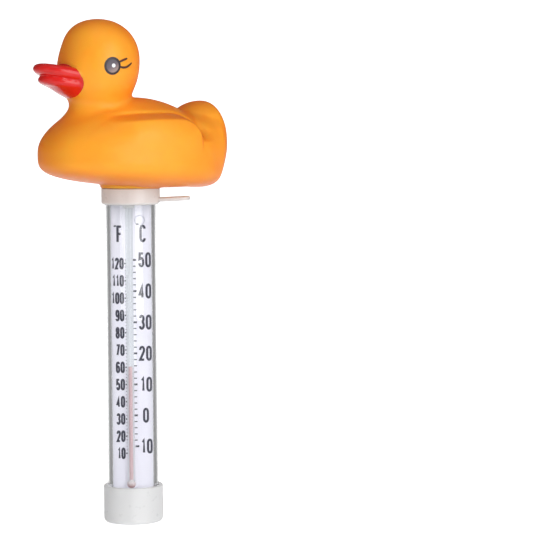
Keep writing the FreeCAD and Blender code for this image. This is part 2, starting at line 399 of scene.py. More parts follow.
def eye_material():
    """Printed eye: a dark ring round a blue-grey iris that lightens downwards, and a white glint."""
    made, tree, shader = new_material("eye_print")
    down = between(tree, attribute(tree, "eye_height"), 3.0, -3.2)
    tones = [(0.0, (0.052, 0.042, 0.062)), (0.45, (0.10, 0.075, 0.098)), (1.0, (0.33, 0.24, 0.22))]
    ring = between(tree, attribute(tree, "eye_radius"), 2.85, 3.25)
    dark = clouded(tree, noise(tree, 900.0), (0.012, 0.008, 0.010), (0.024, 0.015, 0.016))
    glint = between(tree, attribute(tree, "eye_glint"), 1.0, 0.8)
    colour = mix_colours(tree, ring, ramp(tree, down, tones), dark)
    colour = mix_colours(tree, glint, colour, (0.95, 0.95, 0.97))
    set_inputs(tree, shader, Base_Color=colour, Roughness=0.32)
    bump(tree, shader, noise(tree, 2500.0), 0.02, 0.3)
    return made


def clear_material():
    """Clear moulded plastic of the tube, with faint draw lines along it."""
    made, tree, shader = new_material("clear_plastic")
    set_inputs(
        tree,
        shader,
        Base_Color=clouded(tree, noise(tree, 30.0), (0.955, 0.96, 0.975), (0.975, 0.98, 0.985)),
        Transmission_Weight=1.0,
        IOR=1.49,
        Roughness=0.0,
        Specular_IOR_Level=0.28,
    )
    bump(tree, shader, noise(tree, 420.0, 2.0, (1.0, 1.0, 0.02)), 0.004, 0.02)
    let_lamps_in(tree, shader, (0.96, 0.96, 0.97))
    return made


def glass_material():
    made, tree, shader = new_material("stem_glass")
    tint = clouded(tree, noise(tree, 60.0), (0.90, 0.925, 0.91), (0.93, 0.95, 0.94))
    set_inputs(tree, shader, Base_Color=tint, Transmission_Weight=1.0, IOR=1.5, Roughness=0.0)
    let_lamps_in(tree, shader, (0.93, 0.95, 0.94))
    return made


def bore_material():
    """The bore's wall, where spirit wets the glass, so that it doesn't mirror."""
    made, tree, _ = new_material("bore_wall")
    tint = clouded(tree, noise(tree, 60.0), (0.985, 0.99, 0.985), (1.0, 1.0, 1.0))
    use_surface(tree, add_node(tree, "BsdfTransparent", {"Color": tint}).outputs["BSDF"])
    return made


def spirit_material():
    """Thin red spirit: deep where it is looked through squarely, pale at its edges."""
    made, tree, shader = new_material("red_spirit")
    facing = add_node(tree, "LayerWeight", {"Blend": 0.5}).outputs["Facing"]
    tones = [(0.0, (0.62, 0.38, 0.41)), (0.4, (0.74, 0.54, 0.57)), (1.0, (0.84, 0.75, 0.78))]
    rough = wandering(tree, noise(tree, 120.0), 0.10, 0.22)
    set_inputs(tree, shader, Base_Color=ramp(tree, facing, tones), Roughness=rough)
    return made


def bulb_spirit_material():
    """Spirit in the bulb: deep red below, and above it a painted reflection of the glass, silvery pale."""
    made, tree, shader = new_material("bulb_spirit_painted_reflection")
    place_in = add_node(tree, "TexCoord").outputs["Object"]
    height = add_node(tree, "SeparateXYZ", {"Vector": place_in}).outputs["Z"]
    up = between(tree, height, 0.0170, 0.0192)
    # painted reflection: the tones turn silvery pale towards the drop's top
    tones = [(0.0, (0.42, 0.17, 0.18)), (0.35, (0.60, 0.44, 0.45)), (1.0, (0.72, 0.66, 0.67))]
    rough = wandering(tree, noise(tree, 500.0), 0.12, 0.22)
    set_inputs(tree, shader, Base_Color=ramp(tree, up, tones), Roughness=rough)
    return made


def steel_material():
    """Turned steel, with rings round its axis."""
    made, tree, shader = new_material("steel")
    lines = noise(tree, 900.0, 2.0, (0.05, 0.05, 1.0))
    colour = clouded(tree, lines, (0.42, 0.42, 0.43), (0.60, 0.60, 0.61))
    set_inputs(tree, shader, Base_Color=colour, Metallic=1.0, Roughness=wandering(tree, lines, 0.25, 0.4))
    bump(tree, shader, lines, 0.02, 0.4)
    return made


def make_materials():
    made = {name: plain_material(name, *values) for name, values in PLAIN_SURFACES.items()}
    made["duck_vinyl"] = duck_material()
    made["eye_print"] = eye_material()
    made["clear_plastic"] = clear_material()
    made["stem_glass"] = glass_material()
    made["bore_wall"] = bore_material()
    made["red_spirit"] = spirit_material()
    made["bulb_spirit_painted_reflection"] = bulb_spirit_material()
    made["steel"] = steel_material()
    return made


# ---- surfaces where a field is zero ----


def grid_surface(field, low, high, step):
    """Quad mesh of field = 0: a vertex in each cell the surface crosses, drawn onto the surface."""
    axes = [np.arange(low[i], high[i] + step, step) for i in range(3)]
    p = np.meshgrid(*axes, indexing="ij")
    f = field(p).astype(np.float32)
    inside = f < 0
    cells = tuple(n - 1 for n in f.shape)
    total = np.zeros(cells + (3,), np.float32)
    count = np.zeros(cells, np.int16)
    crossings = []
    for axis in range(3):
        a = [slice(None)] * 3
        b = [slice(None)] * 3
        a[axis] = slice(0, -1)
        b[axis] = slice(1, None)
        fa = f[tuple(a)]
        fb = f[tuple(b)]
        where = np.argwhere(inside[tuple(a)] != inside[tuple(b)])
        at = tuple(where.T)
        point = where.astype(np.float32)
        point[:, axis] += fa[at] / (fa[at] - fb[at])
        others = [i for i in range(3) if i != axis]
        good = np.all((where[:, others] > 0) & (where[:, others] < np.array(cells)[others]), axis=1)
        where = where[good]
        point = point[good]
        around = []
        for d1, d2 in ((-1, -1), (0, -1), (0, 0), (-1, 0)):
            cell = where.copy()
            cell[:, others[0]] += d1
            cell[:, others[1]] += d2
            np.add.at(total, tuple(cell.T), point)
            np.add.at(count, tuple(cell.T), 1)
            around.append(cell)
        start_inside = inside[tuple(where.T)]
        crossings.append((axis, around, start_inside))
    used = np.argwhere(count > 0)
    number = np.full(cells, -1, np.int32)
    number[tuple(used.T)] = np.arange(len(used))
    points = total[tuple(used.T)] / count[tuple(used.T)][:, None] * step + np.array(low)
    faces = []
    for axis, around, start_inside in crossings:
        quad = np.column_stack([number[tuple(c.T)] for c in around])
        turn = start_inside if axis != 1 else ~start_inside
        faces.append(np.where(turn[:, None], quad, quad[:, ::-1]))
    return points.astype(float), np.concatenate(faces)


def slope_of(field, p, step=0.02):
    """A field's values, and its slope along each axis."""
    base = field(p)
    out = []
    for axis in range(3):
        moved = list(p)
        moved[axis] = p[axis] + step
        out.append((field(moved) - base) / step)
    return base, out


def onto_surface(field, points, rounds=3, reach=0.4):
    """Moves points along the field's slope until they lie on its zero."""
    for _ in range(rounds):
        p = [points[:, i] for i in range(3)]
        base, slope = slope_of(field, p)
        slope = np.column_stack(slope)
        move = -base[:, None] * slope / (np.sum(slope * slope, axis=1) + 1e-6)[:, None]
        length = np.linalg.norm(move, axis=1)[:, None] + 1e-12
        points = points + move * np.minimum(1.0, reach / length)
    return points


def normals_of(field, points):
    slope = np.column_stack(slope_of(field, [points[:, i] for i in range(3)])[1])
    return slope / (np.linalg.norm(slope, axis=1)[:, None] + 1e-9)


# ---- the duck's shape ----
# Its own frame, in millimetres: u forward, v to the duck's left, z up, with u = v = 0 on the tube's axis.
# Each field below is less than zero inside its shape.

DUCK_YAW = 30.0  # degrees from -X towards -Y
BODY_FRONT = 44.8
BODY_BACK = 47.0
BODY_DRAFT = 0.0031  # how much the back narrows downwards, per mm
BODY_HALF_WIDTH = 33.0
BODY_WIDEST_Z = 175.0
BODY_BASE_Z = 158.86
BODY_RISE = 26.4  # from the widest height to the back, at the tube's axis
PLAN_POWER = 2.25
TAIL_AT = (-39.2, 180.5)  # u and z
TAIL_SIZE = (17.5, 7.5, 20.0, 19.0)  # ahead, behind, aside and up
HEAD_U = 17.0
HEAD_Z = 218.6
HEAD_HALF_LENGTH = 19.4
HEAD_HALF_WIDTH = 19.0
HEAD_ABOVE = 19.25
HEAD_BELOW = 24.5
BROW_Z = 226.0
BROW_DEPTH = 2.6
NECK_Z = 199.0
NECK_R = 14.2
BOSS_R = 14.2  # the short boss under the body, round the collar's spigot
BOSS_Z = 163.0
BOSS_HALF_HEIGHT = 4.14
WING_Z = 184.2
WING_REAR_U = -11.5
WING_HALF_HEIGHT = 8.1
DIMPLE_AT = (-25.4, 24.5, 188.4)
DIMPLE_SIZE = (2.8, 5.5, 4.8)
DIMPLE_DEPTH = 2.6
LIP_HALF_LENGTH = 17.0
LIP_POWER = 2.3
LOWER_LIP = (45.6, 10.6, 4.2, 209.6, 2.8)  # tip u, half width, thickness, tip z, droop
UPPER_LIP = (47.8, 11.8, 5.6, 214.8, 3.5)
JAW_AT = (32.5, 206.2)
JAW_SLOPE = 0.46
JAW_SIZE = (12.8, 8.8, 5.0)


def ease(x):
    """0 below 0 and 1 above 1, with a smooth rise between."""
    x = np.clip(x, 0.0, 1.0)
    return x * x * (3.0 - 2.0 * x)


def smooth_min(a, b, blend):
    """The union of two distance fields with a fillet about `blend` wide."""
    h = np.clip(0.5 + 0.5 * (b - a) / blend, 0.0, 1.0)
    return b + (a - b) * h - blend * h * (1.0 - h)


def smooth_max(a, b, blend):
    return -smooth_min(-a, -b, blend)


def distance(shape, p):
    """A field whose zero is `shape`'s surface turned into a near distance, by its slope."""
    base, slope = slope_of(shape, p, 0.05)
    return base / np.sqrt(sum(s**2 for s in slope) + 1e-9)


def ovoid(p, sizes, power):
    """A superellipsoid about the origin."""
    total = sum(np.abs(x / size) ** power for x, size in zip(p, sizes))
    return total ** (1.0 / power) - 1.0


def body_shape(p):
    """The boat-like body: full below, tapering up to the back, with a rockered base."""
    u, v, z = p
    front = u > 0
    draft = np.clip(181.0 - z, 0.0, 25.0) * BODY_DRAFT
    long = np.where(front, BODY_FRONT, BODY_BACK * (1.0 - draft))
    along = (np.abs(u) / long) ** PLAN_POWER
    across = (np.abs(v) / BODY_HALF_WIDTH) ** PLAN_POWER
    plan = (along + across) ** (1 / PLAN_POWER)
    base = BODY_BASE_Z + 0.5 * ease((u + 6.0) / 16.0) + 0.105 * np.maximum(u - 2.0, 0.0)
    below = BODY_WIDEST_Z - base
    above = BODY_RISE - np.where(front, 0.0045, 0.0056) * u * u + 0.02 * u
    above = above - 0.006 * np.minimum(v * v, 400.0) * ease(u / 20.0)
    up = z > BODY_WIDEST_Z
    tall = np.where(up, above, below)
    end = along / (along + across + 1e-6)
    power = np.where(up, 2.4, 3.1 + np.where(front, 0.9, 4.6) * end)
    height = np.abs((z - BODY_WIDEST_Z) / tall)
    return (plan**power + height**power) ** (1.0 / power) - 1.0


def tail_shape(p):
    """The upswept tail: a long gentle rise in front of its top and a short round fall behind."""
    ahead, behind, aside, up = TAIL_SIZE
    u = p[0] - TAIL_AT[0]
    long = np.where(u > 0.0, ahead, behind)
    return ovoid((u, p[1], p[2] - TAIL_AT[1]), (long, aside, up), 2.1)


def head_shape(p):
    """The head: round above, drawn down into full cheeks below, with a brow drawn back."""
    u, v, z = p
    tall = np.where(z > HEAD_Z, HEAD_ABOVE, HEAD_BELOW)
    forward = np.clip((u - HEAD_U) / 19.0, 0.0, 1.0)
    brow = BROW_DEPTH * np.exp(-(((z - BROW_Z) / 9.0) ** 2)) * forward
    return ovoid((u - HEAD_U + brow, v, z - HEAD_Z), (HEAD_HALF_LENGTH, HEAD_HALF_WIDTH, tall), 2.12)


def wing_relief(p):
    """How far the surface stands out over the folded wing, and how far the back above it sinks.
    Seen from the side the wing is a long bar with a round rear end, and fades into the chest."""
    u, v, z = p
    middle = WING_Z - 0.0025 * (u + 2.0) ** 2
    along = np.clip(u, WING_REAR_U, 40.0)
    outside = np.hypot(0.75 * (u - along), np.maximum(z - middle, 0.0)) - WING_HALF_HEIGHT
    front = ease((24.0 - u) / 12.0)
    rear = ease((u + 34.0) / 10.0)
    lower = ease((z - 174.0) / 12.0)
    pad = (1.6 + 0.06 * (z - 184.0)) * ease((0.5 - outside) / 1.8)
    high = ease((z - 180.0) / 6.0)
    back = -2.0 * ease((outside + 0.1) / 1.9) - 0.7 * np.exp(-(((outside - 1.6) / 1.1) ** 2))
    side = ease((np.abs(v) - 4.0) / 16.0)
    return side * front * (pad * lower + back * high * rear)


def wing_dimple(p):
    """The hollow between the wing's rear end and the tail."""
    places = (p[0], np.abs(p[1]), p[2])
    spot = sum(((x - at) / size) ** 2 for x, at, size in zip(places, DIMPLE_AT, DIMPLE_SIZE))
    return DIMPLE_DEPTH * np.exp(-spot)


def lip(p, tip_u, half_width, thick, tip_z, droop):
    """One lip of the bill: a slab with round edges, curved down towards its corners."""
    half = thick / 2
    u = np.abs((p[0] - (tip_u - LIP_HALF_LENGTH)) / (LIP_HALF_LENGTH - half))
    v = np.abs(p[1] / (half_width - half))
    plan = (u**LIP_POWER + v**LIP_POWER) ** (1 / LIP_POWER)
    out = np.maximum(plan - 1.0, 0.0) * (half_width - half)
    back = np.clip((tip_u - p[0]) / 20.0, 0.0, 2.0)
    z = p[2] - tip_z + droop * back
    return np.sqrt(out * out + z * z) - half


def jaw_shape(p):
    """The wedge under the lower lip, sloping down to the throat."""
    u = p[0] - JAW_AT[0]
    return ovoid((u, p[1], p[2] - JAW_AT[1] - JAW_SLOPE * u), JAW_SIZE, LIP_POWER)


def duck_field(p):
    """The whole duck without its recess and hole, in about millimetres from its surface."""
    u, v, z = p
    field = distance(body_shape, p) - wing_relief(p)
    merge = 1.8 + 7.0 * ease((196.0 - z) / 10.0) * ease((u + 44.5) / 7.0)
    field = smooth_min(field, distance(tail_shape, p), merge) + wing_dimple(p)
    boss = smooth_max(np.hypot(u, v) - BOSS_R, np.abs(z - BOSS_Z) - BOSS_HALF_HEIGHT, 0.4)
    field = smooth_min(field, boss, 1.2)
    neck = np.hypot(u - HEAD_U + 0.8, 1.13 * v) - (NECK_R + 0.012 * (z - NECK_Z) ** 2)
    neck = smooth_max(neck, np.abs(z - NECK_Z) - 12.0, 4.0)
    head = smooth_min(distance(head_shape, p), neck, 3.0)
    nape = np.clip((u - 19.0) / 12.0, 0.0, 1.0)
    field = smooth_min(field, head, 2.6 + 3.4 * nape)
    bill = smooth_min(distance(jaw_shape, p), lip(p, *LOWER_LIP), 2.0)
    bill = smooth_min(bill, lip(p, *UPPER_LIP), 0.6)
    return smooth_min(field, bill, 1.0)


# ---- sizes that the frame's boxes give, and those that they don't ----

CAP_LOW, CAP_HIGH = node_box("bottom_cap")
CAP_R = (CAP_HIGH[0] - CAP_LOW[0]) / 2
CAP_TOP_Z = CAP_HIGH[2]
TUBE_LOW, TUBE_HIGH = node_box("clear_tube")
TUBE_R = (TUBE_HIGH[0] - TUBE_LOW[0]) / 2
COLLAR_LOW, COLLAR_HIGH = node_box("collar")
COLLAR_R = -COLLAR_LOW[0]
COLLAR_BOTTOM_Z = COLLAR_LOW[2]
SPIGOT_TOP_Z = COLLAR_HIGH[2]
TAB_REACH = COLLAR_HIGH[0]
WASHER_LOW, WASHER_HIGH = node_box("float_washer")
COLLAR_TOP_Z = WASHER_LOW[2]
DUCK_SEAT_Z = WASHER_HIGH[2]
WASHER_R = WASHER_HIGH[0]
CAP_FLOOR = TUBE_LOW[2]
RING_LOW, RING_HIGH = node_box("cap_ring")
SLUG_LOW, SLUG_HIGH = node_box("ballast_slug")
GLASS_LOW, GLASS_HIGH = node_box("thermometer_glass")
STEM_AXIS = (GLASS_LOW[0] + GLASS_HIGH[0]) / 2, (GLASS_LOW[1] + GLASS_HIGH[1]) / 2
BULB_R = (GLASS_HIGH[0] - GLASS_LOW[0]) / 2
FILL_LOW, FILL_HIGH = node_box("spirit_fill")
FILL_R = (FILL_HIGH[0] - FILL_LOW[0]) / 2
BULB_Z = FILL_LOW[2] + FILL_R
COLUMN_LOW, COLUMN_HIGH = node_box("spirit_column")
COLUMN_R = (COLUMN_HIGH[0] - COLUMN_LOW[0]) / 2
CARD_LOW, CARD_HIGH = node_box("scale_card")

FIT = 0.05  # gap round a part in its bore
TUBE_WALL = 1.9
SPIGOT_R = 10.4
SPIGOT_BORE_R = 8.6
SPIGOT_HOLE_R = 12.0  # in the duck, clear of the barb
SPIGOT_HOLE_SPARE = 1.5  # above the spigot's top
BARB_R = 11.6
BARB_ABOVE_SEAT = 1.7
BARB_STEP = 0.2
BARB_LENGTH = 3.5
WEB_THICK = 2.0
WEB_RISE = 0.8  # over the collar's shoulder
GROOVE_DEPTH = 1.0  # of the cap's ring
GROOVE_HALF_HEIGHT = 0.6
TAB_Z = 152.2
TAB_THICK = 1.8
TAB_HALF_WIDTH = 4.5
TAB_HOLE_R = 2.3
TAB_ROUND = 0.5
TAB_ROOT = 0.9  # how far the tab starts inside the collar
TAB_RISE = 0.04  # the tab's upward slope
INSERT_R = 9.9  # everything that drops down the tube's bore
SLUG_CHAMFER = 0.5
BUSH_THICK = 3.0
BUSH_SLEEVE_R = 2.7
STEM_R = 1.75
STEM_TOP_ROUND = 1.2
STEM_BORE_R = 0.70
STEM_BORE_END = 4.0  # below the stem's top
BULB_CAVITY_R = 1.55
NIB_R = 0.85
NIB_ROUND = 0.6
COLUMN_TOP_ROUND = 0.4


# ---- the duck ----

DUCK_LOW = (-50.0, -36.0, 157.0)
DUCK_HIGH = (54.0, 36.0, 239.5)
DUCK_STEP = 0.6
BILL_CENTRE_Z = 209.7
BILL_HALF_WIDTH = 11.6
BILL_HALF_HEIGHT = 8.2
BILL_FROM_U = 22.0  # the paint never reaches behind this
PAINT_UP, PAINT_DOWN = 0.06, 0.3  # the bill's painted skin, above and below the vinyl
PRINT_UP, PRINT_DOWN = 0.07, 0.25
EYE_ANGLE = 82.2  # degrees round the head from straight ahead
EYE_Z = 215.9
EYE_R = 4.15
GLINT_AT = (0.45, 0.2)
EYE_RINGS = 16
EYE_TURNS = 64
# each lash: degrees round the head and mm above the eye's centre, from root to tip
LASHES = {
    "upper": ((91.5, 1.7), (96.0, 2.3), (101.0, 2.9), (106.5, 3.5)),
    "lower": ((92.5, -0.2), (98.0, -0.7), (104.0, -0.6), (110.0, 0.3), (115.5, 1.5)),
}
LASH_WIDTH = 1.0
LASH_ACROSS = 5  # points across a lash


def seat_pocket(p):
    """The recess in the duck's base over the washer, and the hole for the collar's barbed spigot."""
    r = np.hypot(p[0], p[1])
    recess = np.maximum(r - WASHER_R - 0.1, p[2] - DUCK_SEAT_Z)
    hole = np.maximum(r - SPIGOT_HOLE_R, p[2] - SPIGOT_TOP_Z - SPIGOT_HOLE_SPARE)
    return np.minimum(recess, hole)


def duck_solid(p):
    return smooth_max(duck_field(p), -seat_pocket(p), 0.3)


def to_world(points):
    """From the duck's own frame to the row's."""
    yaw = math.radians(180.0 + DUCK_YAW)
    c = math.cos(yaw)
    s = math.sin(yaw)
    points = np.asarray(points)
    x = points[:, 0] * c - points[:, 1] * s
    y = points[:, 0] * s + points[:, 1] * c
    return np.column_stack([x, y, points[:, 2]])


def bill_mask(points):
    """Less than zero on the painted bill, in about millimetres."""
    u = points[:, 0]
    v = points[:, 1] / BILL_HALF_WIDTH
    z = (points[:, 2] - BILL_CENTRE_Z) / BILL_HALF_HEIGHT
    z = np.where(z > 0.0, z * 1.12, z)
    round_base = (np.hypot(v, z) - 1.0) * BILL_HALF_HEIGHT
    off_head = 1.2 - distance(head_shape, (u, points[:, 1], points[:, 2]))
    throat = BILL_CENTRE_Z - BILL_HALF_HEIGHT - points[:, 2]
    mask = smooth_min(round_base, smooth_max(off_head, throat, 2.0), 2.0)
    return np.where(u > BILL_FROM_U, mask, 9.0)


def snap_to_edge(points, edge, mask, field):
    """Slides the points numbered in `edge` along the surface until the mask is zero there."""
    step = 0.05
    for _ in range(4):
        here = points[edge]
        normal = normals_of(field, here)
        value = mask(here)
        slope = np.zeros_like(here)
        for axis in range(3):
            moved = here.copy()
            moved[:, axis] += step
            slope[:, axis] = (mask(moved) - value) / step
        slope -= np.sum(slope * normal, axis=1)[:, None] * normal
        size = np.sum(slope * slope, axis=1)[:, None] + 1e-3
        move = -value[:, None] * slope / size
        length = np.linalg.norm(move, axis=1)[:, None] + 1e-9
        points[edge] = onto_surface(field, here + move * np.minimum(1.0, 0.5 / length), 1)
    return points


def film(points, faces, field, up, down):
    """A closed skin `up` above the field's surface and `down` below it."""
    normal = normals_of(field, points)
    both = np.concatenate([points + normal * up, points - normal * down])
    return both, plate_faces(faces, len(points))


def make_duck(materials):
    points, faces = grid_surface(duck_solid, DUCK_LOW, DUCK_HIGH, DUCK_STEP)
    points = onto_surface(duck_solid, points)
    duck = mesh_piece("duck_float_vinyl", to_world(points), faces, [materials["duck_vinyl"]], 60.0)
    place(duck, FIXED, ["duck_float"])

    mask = bill_mask(points)
    painted = faces[np.mean(mask[faces], axis=1) < 0.0]
    used = np.unique(painted)
    number = np.full(len(points), -1)
    number[used] = np.arange(len(used))
    painted = number[painted]
    shared = np.bincount(faces.ravel(), minlength=len(points))[used]
    own = np.bincount(painted.ravel(), minlength=len(used))
    edge = np.nonzero(own < shared)[0]
    skin = snap_to_edge(points[used], edge, bill_mask, duck_field)
    skin, sheets = film(skin, painted.tolist(), duck_field, PAINT_UP, PAINT_DOWN)
    bill = mesh_piece("bill_paint_skin", to_world(skin), sheets, [materials["bill_paint"]], 50.0)
    place(bill, FIXED)


def head_point(degrees, z):
    """A point near the head's surface, that many degrees round from straight ahead."""
    a = math.radians(degrees)
    return (HEAD_U + HEAD_HALF_WIDTH * math.cos(a), HEAD_HALF_WIDTH * math.sin(a), z)


def printed_film(name, points, faces, side, material):
    """A print on the duck's skin, mirrored for its right side."""
    skin, sheets = film(points, faces, duck_field, PRINT_UP, PRINT_DOWN)
    if side < 0:
        skin = skin * np.array((1.0, -1.0, 1.0))
        sheets = [face[::-1] for face in sheets]
    return place(mesh_piece(name, to_world(skin), sheets, [material], 60.0), FIXED)


def make_eye(side, materials):
    name = "left" if side > 0 else "right"
    centre = onto_surface(duck_field, np.array([head_point(EYE_ANGLE, EYE_Z)]), 6)
    out = normals_of(duck_field, centre)[0]
    across = np.cross(np.array((0.0, 0.0, 1.0)), out)
    across /= np.linalg.norm(across)
    upward = np.cross(out, across)
    flat = [(0.0, 0.0)]
    for i in range(1, EYE_RINGS + 1):
        for k in range(EYE_TURNS):
            a = 2 * math.pi * k / EYE_TURNS
            flat.append((EYE_R * i / EYE_RINGS * math.cos(a), EYE_R * i / EYE_RINGS * math.sin(a)))
    faces = [[0, 1 + k, 1 + (k + 1) % EYE_TURNS] for k in range(EYE_TURNS)]
    faces += [[a, d, c, b] for a, b, c, d in strips(EYE_RINGS, EYE_TURNS, True, start=1)]
    flat = np.array(flat)
    points = centre + flat[:, :1] * across + flat[:, 1:] * upward
    points = onto_surface(duck_field, points, 6)
    eye = printed_film("eye_print_" + name, points, faces, side, materials["eye_print"])
    twice = np.concatenate([flat, flat])
    add_attribute(eye, "eye_radius", np.hypot(twice[:, 0], twice[:, 1]))
    add_attribute(eye, "eye_height", twice[:, 1] - 0.6 * twice[:, 0])
    add_attribute(eye, "eye_glint", np.hypot(twice[:, 0] - GLINT_AT[0], twice[:, 1] - GLINT_AT[1]))

    for which, lash in LASHES.items():
        line = np.array([head_point(a, EYE_Z + z) for a, z in lash])
        ribbon, quads = ribbon_on_head(smooth_line(line, 6), LASH_WIDTH)
        printed_film(f"lash_{name}_{which}", ribbon, quads, side, materials["lash_print"])


def smooth_line(points, between_each):
    """Catmull-Rom curve through points, with extra points between each pair."""
    padded = np.concatenate([2 * points[:1] - points[1:2], points, 2 * points[-1:] - points[-2:-1]])
    out = []
    for i in range(1, len(padded) - 2):
        a, b, c, d = padded[i - 1 : i + 3]
        for k in range(between_each):
            t = k / between_each
            value = 2 * b + (c - a) * t + (2 * a - 5 * b + 4 * c - d) * t * t
            out.append(0.5 * (value + (3 * b - a - 3 * c + d) * t**3))
    out.append(padded[-2])
    return np.array(out)


def ribbon_on_head(line, width):
    """A band along a line on the head, tapered to round ends, as points and quads."""
    line = onto_surface(duck_field, line, 6)
    side = np.cross(normals_of(duck_field, line), np.gradient(line, axis=0))
    side /= np.linalg.norm(side, axis=1)[:, None]
    run = np.linspace(0.0, 1.0, len(line))
    ends = np.sqrt(np.clip(1.0 - ((run - 0.5) * 2.0) ** 6, 0.0, 1.0))
    half = width / 2 * np.maximum(ends, 0.12)[:, None]
    points = []
    for k in range(LASH_ACROSS):
        share = 2.0 * k / (LASH_ACROSS - 1) - 1.0
        points.append(line + side * half * share)
    points = onto_surface(duck_field, np.concatenate(points), 4)
    return points, strips(LASH_ACROSS, len(line), False)


# ---- the tube, its cap and its collar ----


def cap_outline():
    """The cup over the tube's foot: rounded outside, grooved inside for its ring."""
    bore = TUBE_R + FIT
    groove = bore + GROOVE_DEPTH
    ring_z = (RING_LOW[2] + RING_HIGH[2]) / 2
    corners = [
        (0, 0, 0),
        (CAP_R, 0, 2.2),
        (CAP_R, CAP_TOP_Z, 0.55),
        (bore, CAP_TOP_Z, 0.35),
        (bore, ring_z + GROOVE_HALF_HEIGHT, 0.05),
        (groove, ring_z + GROOVE_HALF_HEIGHT, 0.1),
        (groove, ring_z - GROOVE_HALF_HEIGHT, 0.1),
        (bore, ring_z - GROOVE_HALF_HEIGHT, 0.05),
        (bore, CAP_FLOOR, 0.2),
        (0, CAP_FLOOR, 0),
    ]
    return rounded(corners, steps=8)


def collar_outline():
    """Skirt, web and barbed spigot."""
    bore = TUBE_R + FIT
    web = COLLAR_TOP_Z + WEB_RISE
    barb = DUCK_SEAT_Z + BARB_ABOVE_SEAT
    corners = [
        (0, web - WEB_THICK, 0),
        (bore, web - WEB_THICK, 0.3),
        (bore, COLLAR_BOTTOM_Z, 0.3),
        (COLLAR_R, COLLAR_BOTTOM_Z, 1.25),
        (COLLAR_R, COLLAR_TOP_Z, 0.5),
        (SPIGOT_R, COLLAR_TOP_Z, 0.1),
        (SPIGOT_R, barb, 0.1),
        (BARB_R, barb + BARB_STEP, 0.15),
        (SPIGOT_R, barb + BARB_LENGTH, 1.5),
        (SPIGOT_R, SPIGOT_TOP_Z, 0.4),
        (SPIGOT_BORE_R, SPIGOT_TOP_Z, 0.4),
        (SPIGOT_BORE_R, web, 0.3),
        (0, web, 0),
    ]
    return rounded(corners)


def slug_outline():
    low, high = SLUG_LOW[2], SLUG_HIGH[2]
    inner = INSERT_R - SLUG_CHAMFER
    corners = [
        (0, low, 0),
        (inner, low, 0.08),
        (INSERT_R, low + SLUG_CHAMFER, 0.08),
        (INSERT_R, high - SLUG_CHAMFER, 0.08),
        (inner, high, 0.08),
        (0, high, 0),
    ]
    return rounded(corners, steps=3)


def ring_outline(bore, outer, low, high, radii):
    """A plain ring, with the radii of its edges: outside below and above, then bore above and below."""
    corners = ((outer, low), (outer, high), (bore, high), (bore, low))
    return rounded([(*at, radius) for at, radius in zip(corners, radii)], closed=True, steps=4)


def round_ring_outline(node):
    """A ring of round section that fills its node's height and reach."""
    low, high = node_box(node)
    thick = (high[2] - low[2]) / 2
    return arc(high[0] - thick, (high[2] + low[2]) / 2, thick, thick, 0, 360, 24)[:-1]


def tab_mesh():
    """The lanyard eye: a flat tab with a round end, rounded edges and a round hole."""
    end_x = TAB_REACH - TAB_HALF_WIDTH
    root_x = COLLAR_R - TAB_ROOT
    middle = TAB_Z + TAB_THICK / 2
    turns = 48
    levels = []
    for k in range(4):
        a = math.pi / 2 * k / 3
        levels.append((TAB_ROUND * (1 - math.sin(a)), TAB_ROUND - TAB_THICK / 2 - TAB_ROUND * math.cos(a)))
    levels += [(inset, -rise) for inset, rise in reversed(levels)]

    def outer_ring(inset, z):
        r = TAB_HALF_WIDTH - inset
        ring = [(root_x, r, z), (root_x, -r, z)]
        for k in range(turns + 1):
            a = -math.pi / 2 + math.pi * k / turns
            ring.append((end_x + r * math.cos(a), r * math.sin(a), z))
        return ring

    def hole_ring(inset, z):
        """As many points as an outer ring, each facing the outer ring's point of that number."""
        ring = []
        r = TAB_HOLE_R + inset
        for x, y, _ in outer_ring(0.0, z):
            a = math.atan2(y, x - end_x)
            ring.append((end_x + r * math.cos(a), r * math.sin(a), z))
        return ring

    rings = [outer_ring(inset, middle + rise) for inset, rise in levels]
    rings += [hole_ring(inset, middle + rise) for inset, rise in reversed(levels)]
    points = [(x, y, z + TAB_RISE * (x - root_x)) for ring in rings for x, y, z in ring]
    return points, strips(len(rings), len(rings[0]), True, looped=True)


def combine(piece, other, operation):
    """Joins another solid to a piece, or cuts it out of the piece."""
    modifier = piece.modifiers.new("combine", "BOOLEAN")
    modifier.operation = operation
    modifier.solver = "EXACT"
    modifier.object = other
    bpy.context.view_layer.update()
    seen = piece.evaluated_get(bpy.context.evaluated_depsgraph_get())
    mesh = bpy.data.meshes.new_from_object(seen)
    piece.modifiers.clear()
    piece.data = mesh
    bpy.data.objects.remove(other)
    shade_smooth(mesh, SHARP_ANGLE)
    return piece


def make_tube_parts(materials):
    # the collar and its tab take the warm-tinted white, painted bounce light from the duck
    collar = turned("collar_moulding", collar_outline(), 192, materials["white_abs_warm_bounce"])
    tab = mesh_piece("lanyard_tab", *tab_mesh(), [materials["white_abs_warm_bounce"]])
    place(combine(collar, tab, "UNION"), FIXED, ["collar"])

    tube_bore = TUBE_R - TUBE_WALL
    tube = ring_outline(tube_bore, TUBE_R, TUBE_LOW[2], TUBE_HIGH[2], (0.15, 0.25, 0.25, 0.15))
    washer_bore = SPIGOT_R + FIT
    washer = ring_outline(washer_bore, WASHER_R, COLLAR_TOP_Z, DUCK_SEAT_Z, (0.15, 0.15, 0.1, 0.1))
    # CAD node, what its piece's name adds, outline, whether that is closed, turns and material
    for node, more, outline, closed, turns, material in (
        ("bottom_cap", "_cup", cap_outline(), False, 192, "white_abs"),
        ("clear_tube", "_wall", tube, True, 256, "clear_plastic"),
        ("ballast_slug", "_steel", slug_outline(), False, 128, "steel"),
        ("cap_ring", "_rubber", round_ring_outline("cap_ring"), True, 160, "seal_rubber"),
        ("tube_gasket", "_rubber", round_ring_outline("tube_gasket"), True, 160, "seal_rubber"),
        ("float_washer", "_soft", washer, True, 160, "soft_white"),
    ):
        piece = turned(node + more, outline, turns, materials[material], closed=closed)
        place(piece, FIXED, [node])


